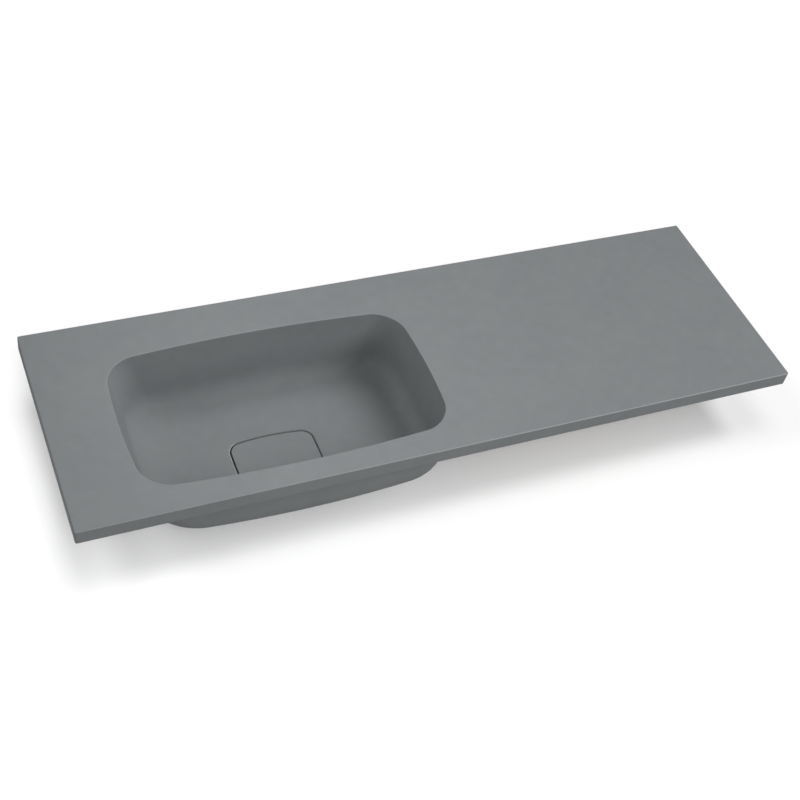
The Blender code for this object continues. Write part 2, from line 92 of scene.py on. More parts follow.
# Waste fitting
SHANK_RADIUS = 0.0205
WASTE_BORE_RADIUS = 0.0172
WASTE_FLANGE_RADIUS = 0.032
WASTE_FLANGE_THICKNESS = 0.003
WASTE_FLANGE_EASE = 0.0009
SHANK_ROOT_EASE = 0.0006
SHANK_TAIL = 0.0012
BASKET_SEAT_RADIUS = 0.0222
BASKET_SEAT_DROP = 0.0015
THREAD_PITCH = 0.00231
THREAD_DEPTH = 0.0013
THREAD_RUN_OUT = 0.004
HOLE_RADIUS = 0.022
COUNTERBORE_RADIUS = 0.0325
COUNTERBORE_DEPTH = 0.0051
RING_BORE = 0.021
FLANGE_SEAL_EASE = 0.0004
LOWER_SEAL_EASE = 0.0010
NUT_CORNER_EASE = 0.0005
NUT_CHAMFER = 0.0026
NUT_CHAMFER_SLOPE = math.radians(60)
NUT_FACE_STEP = 0.0006
NUT_MOUTH = 0.0012
NUT_THREAD_DEPTH = 0.0009
NUT_THREAD_START = 0.0013
BASKET_WALL = 0.0012
BASKET_CLEARANCE = 0.0007
BASKET_EASE = 0.0004
BASKET_BEND = 0.0008
BASKET_INNER_BEND = 0.0005
BASKET_SLOTS = 8
SLOT_WIDTH = 0.0024
SLOT_END_MARGIN = 0.0006
SOCKET_BORE = 0.0064
SPIGOT_RADIUS = 0.006
SPIGOT_TIP_EASE = 0.0015
LOCATOR_THICKNESS = 0.0025
LOCATOR_EASE = 0.0005
LOCATOR_ROOT_EASE = 0.0006
FOOT_EASE = 0.0004
FOOT_SOLE_EASE = 0.0018
FINE_EASE = 0.0003
INSERT_RADIUS = 0.005
INSERT_BORE = 0.0025
INSERT_PITCH = 0.001
INSERT_THREAD_DEPTH = 0.0004
INSERT_THREAD_START = 0.0007
INSERT_MOUTH_WIDTH = 0.0006
INSERT_MOUTH_DEPTH = 0.0005
BORE_CLEARANCE = 0.0003

# Fineness of the surfaces
QUARTER_SIDE = 14
QUARTER_CORNER = 18
FILLET_ROWS = 28
WALL_ROWS = 6
EASE_ROWS = 6
CORNER_STEPS = 5
FLOOR_ROWS = 10
TURN_COLUMNS = 128
SMALL_TURN_COLUMNS = 48
NUT_COLUMNS = 240
NUT_CHAMFER_ROWS = 8
SLOT_SECTOR = 16
SLOT_COLUMNS = 4
THREAD_ROWS_PER_TURN = 10
PLAN_COLUMNS = 4 * (2 * QUARTER_SIDE + QUARTER_CORNER)
GUARD = 0.0006
GUARD_SHARE = 0.35
POLE_RADIUS = 0.0002
SMOOTH_UP_TO = math.radians(50)

# Places read from the frame
sheet_low, sheet_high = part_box("deck_sheet")
shell_low, shell_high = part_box("bowl_shell")
waste_low, waste_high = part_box("waste_body")
cover_low, cover_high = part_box("drain_cover")
SLAB_CENTRE = ((sheet_low.x + sheet_high.x) / 2, (sheet_low.y + sheet_high.y) / 2)
SLAB_HALF = ((sheet_high.x - sheet_low.x) / 2, (sheet_high.y - sheet_low.y) / 2)
DECK_TOP = sheet_high.z
SHEET_UNDERSIDE = sheet_low.z
STRIP_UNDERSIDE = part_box("front_strip")[0].z
INNER_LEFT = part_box("left_strip")[1].x
INNER_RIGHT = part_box("right_strip")[0].x
INNER_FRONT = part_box("front_strip")[1].y
INNER_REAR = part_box("rear_strip")[0].y
OPENING_LEFT = sheet_low.x + LEFT_MARGIN
OPENING_RIGHT = OPENING_LEFT + OPENING_WIDTH
OPENING_FRONT = sheet_low.y + FRONT_MARGIN
OPENING_REAR = OPENING_FRONT + OPENING_DEPTH
FLOOR_EDGE_DEPTH = BOWL_DEPTH - FLOOR_FALL
FLOOR_Z = DECK_TOP - BOWL_DEPTH
DRAIN = ((waste_low.x + waste_high.x) / 2, (waste_low.y + waste_high.y) / 2)
WASTE_TOP = waste_high.z
COVER_HALF = ((cover_high.x - cover_low.x) / 2, (cover_high.y - cover_low.y) / 2)
NUT_RADIUS = (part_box("back_nut")[1].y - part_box("back_nut")[0].y) / 2


# Surfaces


def skin(name, rows, joined=True):
    """A closed skin over a grid of points.

    rows has the shape rings, columns, 3, and each ring closes on itself. Point j of ring i meets
    points j and j + 1 of ring i + 1 in one four-sided face. The last ring meets the first if
    joined, and otherwise each end is closed by one face over its whole ring. The skin's signed
    volume, a sixth of the sum of a . (b x c) over its triangles, tells whether it is inside out,
    and then every face is turned round.
    """
    count, columns = rows.shape[:2]
    points = rows.reshape(-1, 3)
    first = np.arange(count if joined else count - 1)
    second = (first + 1) % count
    column = np.arange(columns)
    after = (column + 1) % columns
    quads = np.stack([first[:, None] * columns + column, first[:, None] * columns + after,
                      second[:, None] * columns + after, second[:, None] * columns + column], axis=-1)
    quads = quads.reshape(-1, 4)
    triangles = np.concatenate([quads[:, [0, 1, 2]], quads[:, [0, 2, 3]]])
    caps = []
    if not joined:
        caps = [column[::-1], (count - 1) * columns + column]
        for cap in caps:
            spokes = np.stack([np.full(columns - 2, cap[0]), cap[1:-1], cap[2:]], axis=1)
            triangles = np.concatenate([triangles, spokes])
    a, b, c = (points[triangles[:, corner]] for corner in range(3))
    if (a * np.cross(b, c)).sum() < 0:
        quads = quads[:, ::-1]
        caps = [cap[::-1] for cap in caps]
    loops = np.concatenate([quads.ravel()] + caps)
    starts = np.concatenate([np.arange(len(quads)) * 4,
                             len(quads) * 4 + columns * np.arange(len(caps))])
    mesh = bpy.data.meshes.new(name)
    mesh.vertices.add(len(points))
    mesh.loops.add(len(loops))
    mesh.polygons.add(len(starts))
    mesh.vertices.foreach_set("co", points.astype(np.float32).ravel())
    mesh.loops.foreach_set("vertex_index", loops.astype(np.int32))
    mesh.polygons.foreach_set("loop_start", starts.astype(np.int32))
    mesh.update(calc_edges=True)
    mesh.validate()
    mesh.shade_smooth()
    piece = bpy.data.objects.new(name, mesh)
    bpy.context.scene.collection.objects.link(piece)
    return piece


def dress(piece, finish, slot, body, *nodes):
    """Give a piece its finish and its moving body, and hide the nodes it stands for. The slot is not
    used.
    """
    piece.data.materials.append(finish)
    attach(piece, body)
    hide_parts(*nodes)


def bowed_outline(half_x, half_y, corner, side_bow=0.0, long_bow=0.0):
    """Rings of points round rounded rectangles with bowed sides, anticlockwise from +X.

    A quarter runs up the straight side, round the corner's arc and along the straight end. Then
    x grows by side_bow / flat_x x (1 - (y / flat_y)^2) and y by long_bow / flat_y x
    (1 - (x / flat_x)^2) of itself, so that each side stands out by its bow in the middle. The
    quarter is mirrored in the Y axis, and the half is turned by 180 degrees. Sizes may be
    numbers or arrays with one value for each ring.
    """
    half_x, half_y, corner = (np.atleast_1d(value)[:, None] for value in (half_x, half_y, corner))
    flat_x = half_x - side_bow
    flat_y = half_y - long_bow
    side = np.arange(QUARTER_SIDE) / QUARTER_SIDE
    turn = np.linspace(0.0, math.pi / 2, QUARTER_CORNER + 1)
    climb = np.concatenate([side, np.ones(QUARTER_CORNER + 1), np.ones(QUARTER_SIDE)])
    angle = np.concatenate([np.zeros(QUARTER_SIDE), turn, np.full(QUARTER_SIDE, math.pi / 2)])
    along = np.concatenate([np.zeros(QUARTER_SIDE), np.zeros(QUARTER_CORNER + 1),
                            side + 1 / QUARTER_SIDE])
    x = (flat_x - corner) * (1 - along) + corner * np.cos(angle)
    y = (flat_y - corner) * climb + corner * np.sin(angle)
    bowed_x = x * (1 + side_bow / flat_x * (1 - (y / flat_y) ** 2))
    bowed_y = y * (1 + long_bow / flat_y * (1 - (x / flat_x) ** 2))
    half_ring_x = np.concatenate([bowed_x, -bowed_x[:, -2:0:-1]], axis=1)
    half_ring_y = np.concatenate([bowed_y, bowed_y[:, -2:0:-1]], axis=1)
    return np.stack([np.concatenate([half_ring_x, -half_ring_x], axis=1),
                     np.concatenate([half_ring_y, -half_ring_y], axis=1)], axis=-1)


def set_rings(outlines, centre_x, centre_y, z):
    """Rings of points at their places and levels, from plan outlines."""
    count, columns = outlines.shape[:2]
    rows = np.empty((count, columns, 3))
    rows[..., 0] = outlines[..., 0] + np.reshape(centre_x, (-1, 1))
    rows[..., 1] = outlines[..., 1] + np.reshape(centre_y, (-1, 1))
    rows[..., 2] = np.reshape(z, (-1, 1))
    return rows


def opening_rings(depth, sweep, offset):
    """The bowl's plan at depths below the deck.

    Each side moves in by depth x tan(its lean) + its fillet x sweep, where sweep goes from 0 on
    the wall to 1 on the floor, and the whole plan grows by offset. The corners widen with sweep.
    """
    depth, sweep, offset = np.broadcast_arrays(*np.atleast_1d(depth, sweep, offset))
    left = OPENING_LEFT + math.tan(LEFT_LEAN) * depth + LEFT_FILLET * sweep
    right = OPENING_RIGHT - math.tan(RIGHT_LEAN) * depth - RIGHT_FILLET * sweep
    front = OPENING_FRONT + math.tan(FRONT_LEAN) * depth + FRONT_FILLET * sweep
    rear = OPENING_REAR - math.tan(REAR_LEAN) * depth - REAR_FILLET * sweep
    corner = OPENING_CORNER + (FLOOR_CORNER - OPENING_CORNER) * sweep + offset
    outlines = bowed_outline((right - left) / 2 + offset, (rear - front) / 2 + offset, corner,
                             SIDE_BOW, LONG_BOW)
    return set_rings(outlines, (left + right) / 2, (front + rear) / 2, DECK_TOP - depth)


def bowl_face(first_depth, offset, fullness=2.0):
    """One face of the bowl from the given depth down its wall and round the fillet.

    On the fillet, at an angle a from 0 to 90 degrees, the depth grows by
    (FILLET_HEIGHT + offset) x (sin a)^(2 / fullness) and the sweep is 1 - (cos a)^(2 / fullness).
    A fullness over 2 lets the curve grow out of the wall and into the floor without a visible
    start. The outer face lies one offset outside the inner one, which shrinks with cos a as it
    turns under the floor.
    """
    fillet_start = FLOOR_EDGE_DEPTH - FILLET_HEIGHT
    wall = opening_rings(np.linspace(first_depth, fillet_start, WALL_ROWS)[:-1], 0.0, offset)
    angle = np.linspace(0.0, math.pi / 2, FILLET_ROWS + 1)
    across = np.clip(np.cos(angle), 0.0, 1.0)
    depth = fillet_start + (FILLET_HEIGHT + offset) * np.sin(angle) ** (2 / fullness)
    fillet = opening_rings(depth, 1 - across ** (2 / fullness), offset * across)
    return np.concatenate([wall, fillet])


def slab_rings(spread, z):
    """The slab's outline grown by spread, at each level."""
    spread, z = np.broadcast_arrays(*np.atleast_1d(spread, z))
    outlines = bowed_outline(SLAB_HALF[0] + spread, SLAB_HALF[1] + spread, SLAB_CORNER + spread)
    return set_rings(outlines, SLAB_CENTRE[0], SLAB_CENTRE[1], z)


def inner_rings(spread, z):
    """The rectangle inside the edge strips, grown by spread, at each level."""
    spread, z = np.broadcast_arrays(*np.atleast_1d(spread, z))
    outlines = bowed_outline((INNER_RIGHT - INNER_LEFT) / 2 + spread,
                             (INNER_REAR - INNER_FRONT) / 2 + spread, SLAB_CORNER + spread)
    return set_rings(outlines, (INNER_LEFT + INNER_RIGHT) / 2, (INNER_FRONT + INNER_REAR) / 2, z)


def recess_rings(spread, z):
    """The drain recess's plan grown by spread, at each level."""
    spread, z = np.broadcast_arrays(*np.atleast_1d(spread, z))
    outlines = bowed_outline(COVER_HALF[0] + DRAIN_GAP + spread, COVER_HALF[1] + DRAIN_GAP + spread,
                             COVER_CORNER + DRAIN_GAP + spread, COVER_SIDE_BOW, COVER_LONG_BOW)
    return set_rings(outlines, DRAIN[0], DRAIN[1], z)


def drain_rings(radius, z):
    """Circles on the waste's axis with as many points as an outline has."""
    radius, z = np.broadcast_arrays(*np.atleast_1d(radius, z))
    return turned_rows(np.stack([radius, z], axis=1), DRAIN, PLAN_COLUMNS)


def quarter_arc(radius, rows=EASE_ROWS):
    """Steps of a quarter circle: how far it has turned inward, and how far it has risen."""
    angle = np.linspace(0.0, math.pi / 2, rows + 1)
    return radius * (1 - np.cos(angle)), radius * np.sin(angle)


def turned_rows(profile, centre, columns=TURN_COLUMNS):
    """A profile of radius and level carried round an upright axis: (r cos t, r sin t, z)."""
    turn = 2 * math.pi * np.arange(columns) / columns
    rows = np.empty((len(profile), columns, 3))
    rows[..., 0] = centre[0] + profile[:, :1] * np.cos(turn)
    rows[..., 1] = centre[1] + profile[:, :1] * np.sin(turn)
    rows[..., 2] = profile[:, 1:]
    return rows


def eased_profile(corners, radii, closed=True):
    """A profile whose corners are rounded by arcs.

    At a corner with the directions u back and v ahead and the angle g between them, the arc
    starts and ends radius / tan(g / 2) along each, and its centre is radius / sin(g / 2) along
    their bisector. A guard point beyond each end keeps the flat beside it flat when shaded.
    """
    corners = np.asarray(corners, float)
    radii = np.broadcast_to(np.asarray(radii, float), (len(corners),))
    pieces = []
    for place, (corner, radius) in enumerate(zip(corners, radii)):
        if radius <= 0.0 or (not closed and place in (0, len(corners) - 1)):
            pieces.append(corner[None])
            continue
        back = corners[place - 1] - corner
        ahead = corners[(place + 1) % len(corners)] - corner
        back_length, ahead_length = np.linalg.norm(back), np.linalg.norm(ahead)
        back, ahead = back / back_length, ahead / ahead_length
        half = math.acos(float(np.clip(back @ ahead, -1.0, 1.0))) / 2
        reach = radius / math.tan(half)
        middle = (back + ahead) / np.linalg.norm(back + ahead) * (radius / math.sin(half))
        start, end = back * reach - middle, ahead * reach - middle
        sweep = math.pi - 2 * half
        share = np.linspace(0.0, 1.0, CORNER_STEPS + 1)[:, None]
        arc = (np.sin((1 - share) * sweep) * start + np.sin(share * sweep) * end) / math.sin(sweep)
        guard = radius * GUARD_SHARE
        row = [corner + middle + arc]
        if back_length > 2 * (reach + guard):
            row.insert(0, (corner + back * (reach + guard))[None])
        if ahead_length > 2 * (reach + guard):
            row.append((corner + ahead * (reach + guard))[None])
        pieces.append(np.concatenate(row))
    return np.concatenate(pieces)


def turned_piece(name, corners, radii, centre=DRAIN, joined=True, columns=TURN_COLUMNS):
    """A turned piece with rounded edges, from the corners of its profile."""
    profile = eased_profile(corners, radii, joined)
    return skin(name, turned_rows(profile, centre, columns), joined)


def thread_rows(crest, root, pitch, low, high, centre, columns=TURN_COLUMNS):
    """Rows of a right-hand screw thread between two levels, from the top down.

    The radius is root + (crest - root) x (1 + cos p) / 2 with p = 2 pi (z / pitch - t / 2 pi)
    at the level z and the turn t, and it settles to the mean radius over the run-out at each end.
    """
    count = int(round((high - low) / pitch * THREAD_ROWS_PER_TURN)) + 1
    z = np.linspace(high, low, count)[:, None]
    turn = 2 * math.pi * np.arange(columns) / columns
    ridge = np.cos(2 * math.pi * z / pitch - turn)
    run_out = np.clip(np.minimum(high - z, z - low) / pitch, 0.0, 1.0)
    radius = (crest + root) / 2 + (crest - root) / 2 * ridge * run_out
    return np.stack([centre[0] + radius * np.cos(turn), centre[1] + radius * np.sin(turn),
                     np.broadcast_to(z, radius.shape)], axis=-1)


# Materials


def shader_tree(name, colour, roughness, metallic=0.0):
    """A new material: its node tree, its Principled shader and its object coordinates."""
    finish = bpy.data.materials.new(name)
    finish.use_nodes = True
    tree = finish.node_tree
    shader = tree.nodes["Principled BSDF"]
    shader.inputs["Base Color"].default_value = (*colour, 1.0)
    shader.inputs["Roughness"].default_value = roughness
    shader.inputs["Metallic"].default_value = metallic
    place = tree.nodes.new("ShaderNodeTexCoord").outputs["Object"]
    return finish, tree, shader, place


def noise(tree, place, scale, detail, stretch=(1.0, 1.0, 1.0)):
    """Cloudy noise from 0 to 1, with an optional stretch of its coordinates."""
    mapping = tree.nodes.new("ShaderNodeMapping")
    mapping.inputs["Scale"].default_value = stretch
    tree.links.new(place, mapping.inputs["Vector"])
    texture = tree.nodes.new("ShaderNodeTexNoise")
    texture.inputs["Scale"].default_value = scale
    texture.inputs["Detail"].default_value = detail
    tree.links.new(mapping.outputs["Vector"], texture.inputs["Vector"])
    return texture.outputs["Fac"]


def ranged(tree, value, low, high, from_low=0.3, from_high=0.7):
    """A value carried from one range to another."""
    node = tree.nodes.new("ShaderNodeMapRange")
    for socket, number in (("From Min", from_low), ("From Max", from_high), ("To Min", low),
                           ("To Max", high)):
        node.inputs[socket].default_value = number
    tree.links.new(value, node.inputs["Value"])
    return node.outputs["Result"]


def blend_colours(tree, share, first, second):
    """The first colour at 0 and the second at 1; each is a colour or a socket."""
    node = tree.nodes.new("ShaderNodeMix")
    node.data_type = "RGBA"
    tree.links.new(share, node.inputs["Factor"])
    for socket, colour in ((node.inputs[6], first), (node.inputs[7], second)):
        if isinstance(colour, bpy.types.NodeSocket):
            tree.links.new(colour, socket)
        else:
            socket.default_value = (*colour, 1.0)
    return node.outputs[2]


def bumped(tree, shader, heights):
    """Chain bumps onto the shader: each is a height socket, a depth in metres and a strength."""
    normal = None
    for height, depth, strength in heights:
        node = tree.nodes.new("ShaderNodeBump")
        node.inputs["Distance"].default_value = depth
        node.inputs["Strength"].default_value = strength
        tree.links.new(height, node.inputs["Height"])
        if normal is not None:
            tree.links.new(normal, node.inputs["Normal"])
        normal = node.outputs["Normal"]
    tree.links.new(normal, shader.inputs["Normal"])


def tinted(colour, share):
    """A colour made lighter or darker by a share of itself."""
    return tuple(channel * share for channel in colour)


def worked_out(tree, operation, *values):
    """One operation on one or two values; each is a number or a socket."""
    node = tree.nodes.new("ShaderNodeMath")
    node.operation = operation
    for socket, value in zip(node.inputs, values):
        if isinstance(value, bpy.types.NodeSocket):
            tree.links.new(value, socket)
        else:
            socket.default_value = value
    return node.outputs["Value"]


def joined_up(tree, operation, *values):
    """Values joined one after another by an operation, such as ADD or MULTIPLY."""
    total = values[0]
    for value in values[1:]:
        total = worked_out(tree, operation, total, value)
    return total


def part(tree, vector, axis):
    """The X, Y or Z part of a vector."""
    split = tree.nodes.new("ShaderNodeSeparateXYZ")
    tree.links.new(vector, split.inputs["Vector"])
    return split.outputs[axis]


STONE = (0.228, 0.242, 0.248)
COOL_STONE = (0.2075, 0.2215, 0.2285)
WARM_STONE = (0.2435, 0.2570, 0.2615)
SPECK_TINT = 1.12
# Painted highlights on the eased edges at the deck's level, the front edge and the drain gap
RIM_HIGHLIGHT_TINT = 1.16
SHELF_GLINT_TINT = 1.60
DRAIN_GLINT_TINT = 1.55
# How far below the deck or behind the front face the painted highlight is full, and where it ends
HIGHLIGHT_FULL, HIGHLIGHT_END = 0.0011, 0.0014
# Painted glint on the drain gap's upper edges: where it is full, ends and starts below the floor
DRAIN_GLINT_FULL, DRAIN_GLINT_END = 0.0012, 0.0016
DRAIN_GLINT_START = 0.0002
# Where along X the painted glint on the front edge begins and where it is full
SHELF_GLINT_START, SHELF_GLINT_FULL = -0.40, 0.20
GRAIN_SHARE = 0.25


def stone_body(tree, place, grain):
    """The composite's own colour: soft clouds, a faint mottle, a fine grain and pale specks."""
    clouds = ranged(tree, noise(tree, place, 9.0, 3.0), 0.0, 0.35)
    mottle = ranged(tree, noise(tree, place, 48.0, 4.0), 0.0, 0.40)
    specks = ranged(tree, noise(tree, place, 1500.0, 1.0), 0.0, 1.0, 0.62, 0.74)
    mixed = joined_up(tree, "ADD", clouds, mottle, grain)
    body = blend_colours(tree, mixed, COOL_STONE, WARM_STONE)
    return blend_colours(tree, specks, body, tinted(STONE, SPECK_TINT))


def with_painted_edge_highlights(tree, place, facing, colour):
    """The colour with a painted highlight on the eased edges at the deck's level.

    The painted highlight grows into a stronger painted glint along the front edge towards the shelf.
    """
    near_deck = ranged(tree, part(tree, place, "Z"), 0.0, 1.0, DECK_TOP - HIGHLIGHT_END,
                       DECK_TOP - HIGHLIGHT_FULL)
    tilted = ranged(tree, part(tree, facing, "Z"), 1.0, 0.0, 0.94, 0.99)
    in_front = ranged(tree, part(tree, place, "Y"), 1.0, 0.0, sheet_low.y + HIGHLIGHT_FULL,
                      sheet_low.y + HIGHLIGHT_END)
    to_shelf = ranged(tree, part(tree, place, "X"), 0.0, 1.0, SHELF_GLINT_START, SHELF_GLINT_FULL)
    # The paler tint is a painted highlight, with a painted glint on the front edge towards the shelf
    painted_highlight = blend_colours(tree, joined_up(tree, "MULTIPLY", in_front, to_shelf),
                         tinted(STONE, RIM_HIGHLIGHT_TINT), tinted(STONE, SHELF_GLINT_TINT))
    return blend_colours(tree, joined_up(tree, "MULTIPLY", near_deck, tilted), colour, painted_highlight)


def with_painted_drain_glints(tree, place, facing, colour):
    """The colour with a painted glint on the upper edges round the drain gap that face the shelf."""
    height = part(tree, place, "Z")
    below_floor = ranged(tree, height, 1.0, 0.0, FLOOR_Z - DRAIN_GLINT_START, FLOOR_Z)
    above_gap = ranged(tree, height, 0.0, 1.0, FLOOR_Z - DRAIN_GLINT_END, FLOOR_Z - DRAIN_GLINT_FULL)
    faces_shelf = ranged(tree, part(tree, facing, "X"), 0.0, 1.0, 0.10, 0.30)
    faces_up = ranged(tree, part(tree, facing, "Z"), 0.0, 1.0, 0.2, 0.4)
    # A painted glint on the drain gap's edges that face +X and upwards
    edge = joined_up(tree, "MULTIPLY", below_floor, above_gap, faces_shelf, faces_up)
    return blend_colours(tree, edge, colour, tinted(STONE, DRAIN_GLINT_TINT))


def solid_surface():
    """Matt mineral composite with a sanded face and painted highlights on its eased edges."""
    finish, tree, shader, place = shader_tree("solid_surface", STONE, 0.74)
    facing = tree.nodes.new("ShaderNodeNewGeometry").outputs["Normal"]
    grain = ranged(tree, noise(tree, place, 420.0, 3.0), 0.0, GRAIN_SHARE)
    # Painted highlights on the eased edges and painted glints round the drain gap
    colour = with_painted_edge_highlights(tree, place, facing, stone_body(tree, place, grain))
    colour = with_painted_drain_glints(tree, place, facing, colour)
    tree.links.new(colour, shader.inputs["Base Color"])
    tree.links.new(ranged(tree, grain, 0.70, 0.78, 0.0, GRAIN_SHARE), shader.inputs["Roughness"])
    shader.inputs["Specular IOR Level"].default_value = 0.25
    bumped(tree, shader, [(noise(tree, place, 26.0, 1.0), 0.0004, 0.12),
                          (noise(tree, place, 1300.0, 2.0), 0.00004, 0.25)])
    return finish


VENEER = 0.0017
GLUE_LINE_START, GLUE_LINE_FULL = 0.0007, 0.0010


def plywood():
    """Raw birch ply: grain along the boards, and pale and dark veneers by height on the edges."""
    finish, tree, shader, place = shader_tree("plywood", (0.42, 0.28, 0.15), 0.72)
    long_grain = noise(tree, place, 60.0, 5.0, (1.0, 0.06, 1.0))
    fibres = noise(tree, place, 700.0, 2.0, (1.0, 0.04, 1.0))
    face = blend_colours(tree, ranged(tree, long_grain, 0.0, 1.0), (0.46, 0.31, 0.17),
                         (0.33, 0.205, 0.10))
    veneer = worked_out(tree, "PINGPONG", part(tree, place, "Z"), VENEER)
    layers = ranged(tree, veneer, 0.0, 1.0, GLUE_LINE_START, GLUE_LINE_FULL)
    edge = blend_colours(tree, layers, (0.40, 0.27, 0.14), (0.20, 0.12, 0.06))
    facing = tree.nodes.new("ShaderNodeNewGeometry").outputs["Normal"]
    level = worked_out(tree, "ABSOLUTE", part(tree, facing, "Z"))
    flat = ranged(tree, level, 0.0, 1.0, 0.4, 0.6)
    tree.links.new(blend_colours(tree, flat, edge, face), shader.inputs["Base Color"])
    bumped(tree, shader, [(fibres, 0.0001, 0.5)])
    return finish


def metal(name, colour, roughness, tarnish, scale, stretch=(1.0, 1.0, 1.0)):
    """A metal whose colour and roughness wander with a noise that may be drawn out as brushing."""
    finish, tree, shader, place = shader_tree(name, colour, roughness, 1.0)
    wander = ranged(tree, noise(tree, place, scale, 4.0, stretch), 0.0, 1.0)
    stain = ranged(tree, noise(tree, place, 35.0, 3.0), 0.0, 1.0)
    tree.links.new(blend_colours(tree, stain, tinted(colour, tarnish), colour),
                   shader.inputs["Base Color"])
    tree.links.new(ranged(tree, wander, roughness * 0.8, roughness * 1.3, 0.0, 1.0),
                   shader.inputs["Roughness"])
    bumped(tree, shader, [(wander, 0.00002, 0.2)])
    return finish


def soft_plastic(name, colour, roughness, bloom):
    """Rubber, silicone or nylon: a faint bloom and a fine moulded grain."""
    finish, tree, shader, place = shader_tree(name, colour, roughness)
    dust = ranged(tree, noise(tree, place, 90.0, 4.0), 0.0, 1.0)
    tree.links.new(blend_colours(tree, dust, colour, tinted(colour, bloom)),
                   shader.inputs["Base Color"])
    tree.links.new(ranged(tree, dust, roughness * 0.9, roughness * 1.1, 0.0, 1.0),
                   shader.inputs["Roughness"])
    bumped(tree, shader, [(noise(tree, place, 2400.0, 1.0), 0.00002, 0.4)])
    return finish


def pale_floor():
    """The plain pale floor."""
    finish, _, shader, _ = shader_tree("pale_floor", (0.9, 0.9, 0.9), 0.9)
    shader.inputs["Specular IOR Level"].default_value = 0.0
    shader.inputs["Emission Color"].default_value = (1.0, 1.0, 1.0, 1.0)
    shader.inputs["Emission Strength"].default_value = FLOOR_GLOW
    return finish


stone = solid_surface()
ply = plywood()
brass = metal("brass", (0.64, 0.44, 0.19), 0.30, 0.75, 900.0)
chrome = metal("chrome", (0.66, 0.67, 0.69), 0.12, 0.94, 600.0)
steel = metal("steel", (0.56, 0.56, 0.57), 0.26, 0.92, 500.0, (1.0, 1.0, 0.1))
rubber = soft_plastic("rubber", (0.028, 0.028, 0.030), 0.78, 1.8)
silicone = soft_plastic("silicone", (0.42, 0.43, 0.43), 0.55, 1.15)
nylon = soft_plastic("nylon", (0.70, 0.70, 0.68), 0.45, 0.92)


# The top


def make_top():
    """The seamless top: deck, bowl, recess, outer bowl, underside and edge strips in one skin.

    The rings go down the inside of the bowl, out through the waste hole, up the outside, across
    the underside, round the edge strips, up the slab's edge and back over the deck.
    """
    eased_in, eased_up = quarter_arc(EDGE_EASE)
    rim = opening_rings(EDGE_EASE - eased_up[::-1], 0.0, eased_in[::-1])
    inner = bowl_face(2 * EDGE_EASE, 0.0, FILLET_FULLNESS)
    recess_in, recess_up = quarter_arc(RECESS_LIP)
    lip = recess_rings(recess_in[::-1], FLOOR_Z - RECESS_LIP + recess_up[::-1])
    share = np.linspace(0.0, 1.0, FLOOR_ROWS + 1)[1:-1, None, None]
    floor = inner[-1] * (1 - share) + recess_rings(RECESS_LIP + GUARD, FLOOR_Z) * share
    foot_in, foot_up = quarter_arc(RECESS_FOOT)
    foot = recess_rings(-foot_in, WASTE_TOP + RECESS_FOOT - foot_up)
    counterbore = WASTE_TOP - COUNTERBORE_DEPTH
    waste_hole = drain_rings(
        [COUNTERBORE_RADIUS + GUARD, COUNTERBORE_RADIUS, COUNTERBORE_RADIUS, HOLE_RADIUS,
         HOLE_RADIUS, HOLE_RADIUS + GUARD],
        [WASTE_TOP, WASTE_TOP - GUARD / 2, counterbore, counterbore, shell_low.z + GUARD,
         shell_low.z])
    seat_radius = NUT_RADIUS + SEAT_MARGIN
    bump_floor = WASTE_TOP - BOWL_WALL
    seat = drain_rings([seat_radius - GUARD, seat_radius, seat_radius + GUARD],
                       [shell_low.z, shell_low.z + GUARD, bump_floor])
    bump_ease = BOWL_WALL / 3
    wall_in, wall_up = quarter_arc(bump_ease)
    bump_edge = recess_rings(BOWL_WALL - wall_in[::-1], bump_floor + bump_ease - wall_up[::-1])
    bump_wall = recess_rings([BOWL_WALL, BOWL_WALL + GUARD],
                             [FLOOR_Z - BOWL_WALL - GUARD, FLOOR_Z - BOWL_WALL])
    flange_depth = DECK_TOP - (shell_high.z - FLANGE_THICKNESS)
    outer = bowl_face(flange_depth + GUARD, BOWL_WALL)[::-1]
    flange = opening_rings(
        [flange_depth, flange_depth, flange_depth - GUARD, DECK_TOP - SHEET_UNDERSIDE], 0.0,
        [BOWL_WALL + GUARD, FLANGE_WIDTH - GUARD, FLANGE_WIDTH, FLANGE_WIDTH])
    strip_inner = inner_rings(
        [0.0, 0.0, GUARD, 2 * GUARD],
        [SHEET_UNDERSIDE, STRIP_UNDERSIDE + GUARD, STRIP_UNDERSIDE, STRIP_UNDERSIDE])
    lower_edge = slab_rings(
        np.concatenate([[-2 * EDGE_EASE], -eased_in[::-1]]),
        np.concatenate([[STRIP_UNDERSIDE], STRIP_UNDERSIDE + EDGE_EASE - eased_up[::-1]]))
    upper_edge = slab_rings(np.concatenate([-eased_in, [-2 * EDGE_EASE]]),
                            np.concatenate([DECK_TOP - EDGE_EASE + eased_up, [DECK_TOP]]))
    side_guard = slab_rings(0.0, [STRIP_UNDERSIDE + 2 * EDGE_EASE, DECK_TOP - 2 * EDGE_EASE])
    deck_guard = opening_rings(0.0, 0.0, 2 * EDGE_EASE)
    rows = np.concatenate([rim, inner, floor, lip, foot, waste_hole, seat, bump_edge, bump_wall, outer,
                           flange, strip_inner, lower_edge, side_guard, upper_edge, deck_guard])
    top = skin("vanity_top", rows)
    bore_inserts(top)
    dress(top, stone, "solid_surface", "basin", "deck_sheet", "front_strip", "rear_strip",
          "left_strip", "right_strip", "bowl_shell")


def insert_places():
    """The names and centres of the threaded inserts, and how deep they go."""
    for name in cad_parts:
        if name.startswith("threaded_insert_"):
            low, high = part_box(name)
            yield name, ((low.x + high.x) / 2, (low.y + high.y) / 2), low.z, high.z


